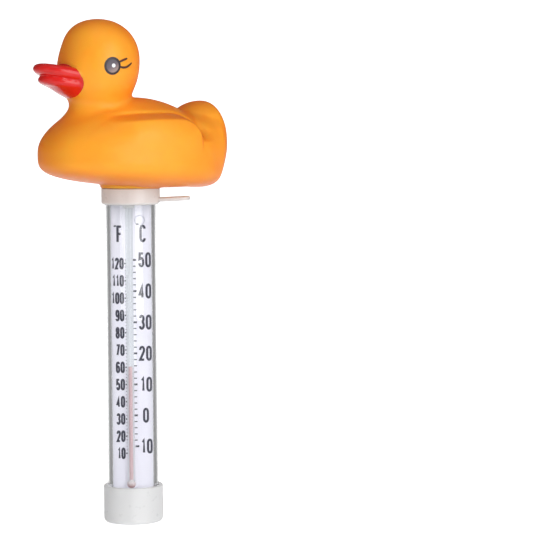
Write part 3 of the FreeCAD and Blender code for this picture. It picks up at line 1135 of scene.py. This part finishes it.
# ---- the thermometer inside ----


def glass_outer():
    """Nib, bulb and stem, from the bottom up."""
    low, high = GLASS_LOW[2], GLASS_HIGH[2]
    nib_angle = math.degrees(math.acos(NIB_R / BULB_R))
    stem_angle = math.degrees(math.acos(STEM_R / BULB_R))
    out = [(0.0, low)]
    out += arc(NIB_R - NIB_ROUND, low + NIB_ROUND, NIB_ROUND, NIB_ROUND, -90, 0, 6)
    out += arc(0.0, BULB_Z, BULB_R, BULB_R, -nib_angle, stem_angle, 24)
    out += arc(STEM_R - STEM_TOP_ROUND, high - STEM_TOP_ROUND, STEM_TOP_ROUND, STEM_TOP_ROUND, 0, 90, 8)
    return out + [(0.0, high)]


def glass_inner():
    """The bulb's cavity and the bore above it, from the top down, so that it faces inward."""
    angle = math.degrees(math.acos(STEM_BORE_R / BULB_CAVITY_R))
    top = GLASS_HIGH[2] - STEM_BORE_END
    cavity = arc(0.0, BULB_Z, BULB_CAVITY_R, BULB_CAVITY_R, angle, -90, 24)
    return [(0.0, top), (STEM_BORE_R, top)] + cavity[:-1] + [(0.0, BULB_Z - BULB_CAVITY_R)]


def fill_outline():
    angle = math.degrees(math.acos(COLUMN_R / FILL_R))
    ball = arc(0.0, BULB_Z, FILL_R, FILL_R, -90, angle, 24)
    return [(0.0, BULB_Z - FILL_R)] + ball[1:] + [(COLUMN_R, FILL_HIGH[2]), (0.0, FILL_HIGH[2])]


def column_outline():
    """The spirit thread, with a rounded top and rings all along, so that it can stretch."""
    low = COLUMN_LOW[2]
    high = COLUMN_HIGH[2]
    r = COLUMN_TOP_ROUND
    rings = 120
    out = [(0.0, low)]
    for k in range(rings + 1):
        out.append((COLUMN_R, low + (high - r - low) * k / rings))
    return out + arc(COLUMN_R - r, high - r, r, r, 0, 90, 6)[1:-1] + [(0.0, high)]


def block(name, xs, ys, zs):
    points = [(x, y, z) for x in xs for y in ys for z in zs]
    faces = [(0, 1, 3, 2), (4, 6, 7, 5), (0, 4, 5, 1), (2, 3, 7, 6), (0, 2, 6, 4), (1, 5, 7, 3)]
    return mesh_piece(name, points, faces, [])


def rod(name, radius, z_low, z_high, materials=()):
    """A closed cylinder on the stem's axis."""
    outline = [(0, z_low), (radius, z_low), (radius, z_high), (0, z_high)]
    return mesh_piece(name, *lathe(outline, False, 64, STEM_AXIS), materials)


def disc_with_slot(name, z_low, z_high, slot_low, slot_high, material):
    """A soft disc that fills the bore, with a groove for the card cut into one face."""
    corners = [(0, z_low, 0), (INSERT_R, z_low, 0.3), (INSERT_R, z_high, 0.3), (0, z_high, 0)]
    disc = turned(name, rounded(corners, steps=5), 160, material)
    half = CARD_HIGH[0] + 1.0
    depth = (CARD_LOW[1] - FIT, CARD_HIGH[1] + FIT)
    return combine(disc, block("groove", (-half, half), depth, (slot_low, slot_high)), "DIFFERENCE")


def make_soft_discs(soft):
    """The cradle under the bulb, and the bush round the stem's top with its half sleeve."""
    low, high = (corner[2] for corner in node_box("bulb_cradle"))
    cradle = disc_with_slot("bulb_cradle_disc", low, high, CARD_LOW[2] - FIT, high + 1, soft)
    cradle = combine(cradle, rod("nib_hole", NIB_R + FIT, low - 1, high + 1), "DIFFERENCE")
    place(cradle, FIXED, ["bulb_cradle"])

    low, high = (corner[2] for corner in node_box("stem_top_bush"))
    disc_low = high - BUSH_THICK
    bush = disc_with_slot("stem_top_bush_disc", disc_low, high, disc_low - 1, CARD_HIGH[2] + FIT, soft)
    sleeve = rod("sleeve", BUSH_SLEEVE_R, low, disc_low + 0.5, [soft])
    behind = block("behind", (-20, 20), (CARD_LOW[1] - FIT, 20), (low - 1, disc_low + 2))
    bush = combine(bush, combine(sleeve, behind, "DIFFERENCE"), "UNION")
    bush = combine(bush, rod("stem_hole", STEM_R + FIT, low - 1, GLASS_HIGH[2] + 0.1), "DIFFERENCE")
    place(bush, FIXED, ["stem_top_bush"])


def card_mesh():
    """A thin sheet with slightly rounded long edges."""
    (x0, y0), (x1, y1) = CARD_LOW[:2], CARD_HIGH[:2]
    corners = [(x, y, 0.12) for x, y in ((x0, y0), (x1, y0), (x1, y1), (x0, y1))]
    outline = rounded(corners, closed=True, steps=3)
    count = len(outline)
    levels = np.linspace(CARD_LOW[2], CARD_HIGH[2], 15)
    points = [(x, y, z) for z in levels for x, y in outline]
    ends = [list(range(count))[::-1], [count * (len(levels) - 1) + i for i in range(count)]]
    return points, ends + strips(len(levels), count, True)


def make_inside(materials):
    make_soft_discs(materials["soft_white"])
    card = mesh_piece("scale_card_sheet", *card_mesh(), [materials["card"]])
    place(card, FIXED, ["scale_card"])

    outer = lathe(glass_outer(), False, 96, STEM_AXIS)
    inner = lathe(glass_inner(), False, 96, STEM_AXIS)
    which = [0] * len(outer[1]) + [1] * len(inner[1])
    both = [materials["stem_glass"], materials["bore_wall"]]
    glass = mesh_piece("thermometer_glass_stem", *joined(outer, inner), both, which=which)
    place(glass, FIXED, ["thermometer_glass"])

    fill = turned("spirit_fill_drop", fill_outline(), 64, materials["bulb_spirit_painted_reflection"], axis=STEM_AXIS)
    place(fill, FIXED, ["spirit_fill"])
    column = turned("spirit_column_thread", column_outline(), 48, materials["red_spirit"], axis=STEM_AXIS)
    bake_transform(column)
    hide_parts("spirit_column")


# ---- the printed scale ----

ZERO_C_Z = 50.5
PER_DEGREE_C = 1.482
INK_THICK = 0.03
C_MARKS = range(-10, 51, 2)
C_DIGIT = (2.95, 7.2, 1.12)  # width, height and stroke
C_GAP = 0.4
C_LEFT = 3.25
C_SINGLE_SHIFT = 1.6  # of a lone digit
C_TICKS = (0.85, 2.4, 2.2)  # start, and ends of the 10 and 2 degree ticks
C_STROKES = (0.9, 0.5)  # of the 10 and 2 degree ticks
MINUS_SHIFT = 0.3  # the lowest mark doubles as the minus sign
F_MARKS = range(10, 123, 2)
F_DIGIT = (2.1, 5.6, 0.95)
F_GAP = 0.12
F_RIGHT = -3.55
F_TICKS = (-3.3, -3.0, -2.1)  # starts of the 10 and 2 degree ticks, and end
F_STROKES = (0.7, 0.36)
NARROW_ONE = 0.78  # the width of a 1 against the other digits
# each heading sign: left edge, height of its middle, width, height and stroke
HEADINGS = (
    ("F", -6.95, 136.8, 2.9, 8.4, 1.15),
    ("o", -8.3, 140.7, 1.25, 1.5, 0.42),
    ("C", 3.95, 137.1, 3.2, 8.4, 1.15),
    ("o", 2.35, 141.5, 1.25, 1.5, 0.42),
)
RING_MARK = (4.1, 143.4, 2.3, 2.3)  # centre and radii
RING_MARK_STROKE = 0.45

# Strokes of each sign, as centre lines in a box 1 wide and 2 high.
SIGNS = {
    "0": [arc(0.5, 1.5, 0.5, 0.5, 0, 180) + arc(0.5, 0.5, 0.5, 0.5, 180, 360) + [(1.0, 1.5)]],
    "1": [[(0.12, 1.62), (0.62, 1.98), (0.62, 0.0)]],
    "2": [arc(0.5, 1.5, 0.5, 0.5, 178, -22) + [(0.0, 0.0), (1.02, 0.0)]],
    "3": [arc(0.5, 1.53, 0.46, 0.47, 165, -90), arc(0.5, 0.53, 0.5, 0.53, 90, -165)],
    "4": [[(1.04, 0.5), (0.0, 0.5), (0.7, 1.98), (0.7, 0.0)]],
    "5": [[(0.94, 2.0), (0.12, 2.0), (0.06, 1.1)] + arc(0.5, 0.64, 0.5, 0.64, 130, -165)],
    "6": [
        arc(0.5, 0.6, 0.5, 0.6, 180, 540, 24),
        arc(0.5, 1.5, 0.5, 0.5, 20, 180) + [(0.0, 0.6)],
    ],
    "7": [[(0.0, 2.0), (1.0, 2.0), (0.36, 0.0)]],
    "8": [arc(0.5, 1.52, 0.44, 0.48, -90, 270, 24), arc(0.5, 0.52, 0.5, 0.52, 90, 450, 24)],
    "9": [
        arc(0.5, 1.4, 0.5, 0.6, 0, 360, 24),
        [(1.0, 1.4)] + arc(0.5, 0.5, 0.5, 0.5, 0, -160),
    ],
    "F": [[(0.0, 0.0), (0.0, 2.0), (1.0, 2.0)], [(0.0, 1.05), (0.86, 1.05)]],
    "C": [arc(0.5, 1.5, 0.5, 0.5, 15, 180) + arc(0.5, 0.5, 0.5, 0.5, 180, 345)],
    "o": [arc(0.5, 1.0, 0.5, 0.5, 0, 360, 20)],
}


def sign_width(letter, wide):
    return wide * NARROW_ONE if letter == "1" else wide


class Ink:
    """Printed shapes gathered into one mesh on the card's front."""

    def __init__(self):
        self.points = []
        self.faces = []

    def outline(self, flat, faces):
        """A closed thin plate: flat (x, z) points, and faces that run anticlockwise in x, z."""
        start = len(self.points)
        count = len(flat)
        front = CARD_LOW[1] - INK_THICK
        back = CARD_LOW[1] + INK_THICK
        self.points += [(x, front, z) for x, z in flat] + [(x, back, z) for x, z in flat]
        self.faces += [[start + i for i in face] for face in plate_faces(faces, count)]

    def line(self, path, width):
        """A band along a path, mitred at its corners and joined up if it is closed."""
        path = np.array(path, float)
        closed = np.linalg.norm(path[0] - path[-1]) < 1e-6
        if closed:
            path = path[:-1]
        keep = [0]
        for i in range(1, len(path)):
            if np.linalg.norm(path[i] - path[keep[-1]]) > 1e-4:
                keep.append(i)
        path = path[keep]
        count = len(path)
        left = []
        right = []
        for i in range(count):
            before = path[i] - path[i - 1] if closed or i > 0 else None
            after = path[(i + 1) % count] - path[i] if closed or i < count - 1 else None
            before = after if before is None else before
            after = before if after is None else after
            before = before / np.linalg.norm(before)
            after = after / np.linalg.norm(after)
            normal = np.array((-(before + after)[1], (before + after)[0]))
            normal = normal / np.linalg.norm(normal)
            side = np.array((-before[1], before[0]))
            reach = min(width / 2 / max(np.dot(normal, side), 0.2), width)
            left.append(path[i] + normal * reach)
            right.append(path[i] - normal * reach)
        faces = []
        for i in range(count if closed else count - 1):
            n = (i + 1) % count
            faces.append([count + i, count + n, n, i])
        self.outline(left + right, faces)

    def sign(self, letter, x_left, z_middle, wide, tall, weight):
        """One sign, by the outer size of its ink."""
        for path in SIGNS[letter]:
            placed = []
            for px, pz in path:
                x = x_left + weight / 2 + px * (wide - weight)
                z = z_middle - tall / 2 + weight / 2 + pz / 2 * (tall - weight)
                placed.append((x, z))
            self.line(placed, weight)

    def number(self, text, x_left, z_middle, wide, tall, weight, gap):
        for letter in text:
            self.sign(letter, x_left, z_middle, sign_width(letter, wide), tall, weight)
            x_left += sign_width(letter, wide) + gap


def celsius_z(degrees):
    return ZERO_C_Z + PER_DEGREE_C * degrees


def make_scale(materials):
    ink = Ink()
    for degrees in C_MARKS:
        z = celsius_z(degrees)
        major = degrees % 10 == 0
        start, long_end, short_end = C_TICKS
        shift = MINUS_SHIFT if degrees == C_MARKS[0] else 0.0
        end = (long_end if major else short_end) + 2 * shift
        ink.line([(start + shift, z), (end, z)], C_STROKES[0 if major else 1])
        if major:
            text = str(abs(degrees))
            left = C_LEFT if len(text) == 2 else C_LEFT + C_SINGLE_SHIFT
            left += C_DIGIT[0] - sign_width(text[0], C_DIGIT[0])
            ink.number(text, left, z, *C_DIGIT, C_GAP)
    for degrees in F_MARKS:
        z = celsius_z((degrees - 32) / 1.8)
        major = degrees % 10 == 0
        kind = 0 if major else 1
        ink.line([(F_TICKS[kind], z), (F_TICKS[2], z)], F_STROKES[kind])
        if major:
            text = str(degrees)
            left = F_RIGHT - sum(sign_width(c, F_DIGIT[0]) + F_GAP for c in text) + F_GAP
            ink.number(text, left, z, *F_DIGIT, F_GAP)
    for heading in HEADINGS:
        ink.sign(*heading)
    # the moulded ring mark, its faint shade painted as a thin grey ring
    mark = Ink()
    mark.line(arc(*RING_MARK, 0, 360, 48), RING_MARK_STROKE)
    for name, print_, material in (
        ("printed_scale", ink, "scale_ink"),
        ("moulded_ring_mark", mark, "ring_mark_shade"),
    ):
        piece = mesh_piece(name, print_.points, print_.faces, [materials[material]])
        place(piece, FIXED)


# ---- floor, light and camera ----

CAMERA_AT = (0.0, -1150.0, 208.0)
CAMERA_YAW = -3.40  # degrees to the left, pitch upward and roll; the lens has no shift
CAMERA_PITCH = -4.54
CAMERA_ROLL = -0.31
PICTURE_WIDTH = 260.4  # how much the picture spans at the tube's axis

FLOOR_GLOW = 0.30  # how much light the floor sends up
WALL_GLOW = 0.02  # and the wall forward
SEEN_GLOW = 0.72  # of the backdrop where it is seen
BENT_GLOW = 0.34  # what is left of that where bent rays find its flanks
FLANK = (0.16, 0.42)  # where the flanks start and are full, aside over depth
FLOOR_TO = 500.0  # y where the sweep's floor ends and its curve starts
SWEEP_R = 500.0

# degrees right of the camera, height, reach, width, tallness (m), power (W), mirrored in glossy
# surfaces, and shining through clear ones
LAMPS = {
    "key_right": (38.0, 0.30, 0.95, 0.62, 1.1, 5.6, True, True),
    "key_right_matt": (38.0, 0.30, 0.95, 0.62, 1.1, 4.9, False, True),
    "fill_left": (-43.0, 0.30, 1.0, 0.50, 1.1, 3.9, False, True),
    "top": (0.0, 1.1, 0.35, 0.5, 0.4, 0.4, True, True),
    "back": (180.0, 0.40, 0.70, 0.9, 0.5, 3.6, False, False),
}
LAMP_TARGET = (0.0, 0.0, 0.13)
WORLD_GLOW = 0.27  # of the world where it isn't seen


def seen_directly(tree, otherwise, direct):
    """One value for what the camera sees, through clear parts too, and another for what lights."""
    path = add_node(tree, "LightPath").outputs
    total = path["Is Camera Ray"]
    for kind in ("Is Transmission Ray", "Is Singular Ray"):
        total = arithmetic(tree, "MAXIMUM", total, path[kind])
    return between(tree, total, 0.0, 1.0, otherwise, direct)


def backdrop_material():
    """Pale and almost white where it is seen. The rays that the tube's wall bends aside find it
    darker away from the middle, as they would in a studio of finite width. From behind it is clear."""
    made, tree, shader = new_material("backdrop")
    pale = clouded(tree, noise(tree, 3.0), (0.93, 0.93, 0.93), (0.96, 0.96, 0.96))
    direct = seen_directly(tree, 0.0, 1.0)
    place_in = add_node(tree, "TexCoord").outputs["Object"]
    apart = add_node(tree, "SeparateXYZ", {"Vector": place_in}).outputs
    aside = arithmetic(tree, "ABSOLUTE", apart["X"])
    depth = arithmetic(tree, "ADD", arithmetic(tree, "ABSOLUTE", apart["Y"]), 0.03)
    flank = between(tree, arithmetic(tree, "DIVIDE", aside, depth), *FLANK)
    straight = add_node(tree, "LightPath").outputs["Is Camera Ray"]
    bent = arithmetic(tree, "MULTIPLY", flank, arithmetic(tree, "SUBTRACT", 1.0, straight))
    on_wall = between(tree, apart["Z"], 0.02, 0.3)
    bounce = mix_colours(tree, on_wall, (0.85, 0.85, 0.85), (0.15, 0.15, 0.15))
    colour = mix_colours(tree, direct, bounce, pale)
    colour = mix_colours(tree, arithmetic(tree, "MULTIPLY", bent, direct), colour, (0.05, 0.05, 0.05))
    unseen = between(tree, on_wall, 0.0, 1.0, FLOOR_GLOW, WALL_GLOW)
    glow = between(tree, direct, 0.0, 1.0, unseen, SEEN_GLOW)
    glow = arithmetic(tree, "MULTIPLY", glow, between(tree, bent, 0.0, 1.0, 1.0, BENT_GLOW))
    set_inputs(tree, shader, Base_Color=colour, Roughness=0.9)
    set_inputs(tree, shader, Emission_Color=(1.0, 1.0, 1.0), Emission_Strength=glow)
    partly_clear(tree, shader, add_node(tree, "NewGeometry").outputs["Backfacing"], (1.0, 1.0, 1.0))
    return made


def make_stage():
    """A floor that curves up into a wall behind the object."""
    width = 2500.0
    curve = arc(FLOOR_TO, SWEEP_R, SWEEP_R, SWEEP_R, -90, 0, 12)[1:]
    profile = [(-1500.0, 0.0), (FLOOR_TO, 0.0)] + curve + [(FLOOR_TO + SWEEP_R, 2200.0)]
    points = [(x, y, z) for y, z in profile for x in (-width, width)]
    faces = strips(len(profile), 2, False)
    mesh_piece("backdrop", points, faces, [backdrop_material()], 80.0)


def softbox(name, azimuth, height, reach, wide, tall, watts, mirrored, through):
    """A rectangular lamp that faces the object."""
    data = bpy.data.lights.new(name, "AREA")
    data.shape = "RECTANGLE"
    data.size = wide
    data.size_y = tall
    data.energy = watts
    lamp = bpy.data.objects.new(name, data)
    bpy.context.scene.collection.objects.link(lamp)
    lamp.visible_camera = False
    lamp.visible_glossy = mirrored
    lamp.visible_transmission = through
    a = math.radians(azimuth)
    lamp.location = (reach * math.sin(a), -reach * math.cos(a), height)
    towards = Vector(LAMP_TARGET) - lamp.location
    lamp.rotation_euler = towards.to_track_quat("-Z", "Y").to_euler()


def make_light():
    """A key and a fill in front, part of the key unmirrored for a soft sheen, and one lamp behind."""
    for name, settings in LAMPS.items():
        softbox(name, *settings)
    world = bpy.data.worlds.new("studio")
    bpy.context.scene.world = world
    world.use_nodes = True
    tree = world.node_tree
    background = tree.nodes["Background"]
    background.inputs["Color"].default_value = (1.0, 1.0, 1.0, 1.0)
    tree.links.new(seen_directly(tree, WORLD_GLOW, 1.0), background.inputs["Strength"])


def make_camera():
    data = bpy.data.cameras.new("camera")
    camera = bpy.data.objects.new("camera", data)
    bpy.context.scene.collection.objects.link(camera)
    turn = Matrix.Rotation(math.radians(CAMERA_YAW), 4, "Z")
    turn = turn @ Matrix.Rotation(math.radians(90.0 + CAMERA_PITCH), 4, "X")
    turn = turn @ Matrix.Rotation(math.radians(CAMERA_ROLL), 4, "Z")
    camera.matrix_world = Matrix.Translation(Vector(CAMERA_AT) * MM) @ turn
    data.lens = data.sensor_width * -CAMERA_AT[1] / PICTURE_WIDTH
    data.clip_start = 0.05
    data.clip_end = 10.0
    bpy.context.scene.camera = camera


def main():
    materials = make_materials()
    make_duck(materials)
    for side in (1, -1):
        make_eye(side, materials)
    make_tube_parts(materials)
    make_inside(materials)
    make_scale(materials)
    make_stage()
    make_light()
    make_camera()
    bpy.context.scene.view_settings.view_transform = "Standard"
    bpy.context.view_layer.update()


main()
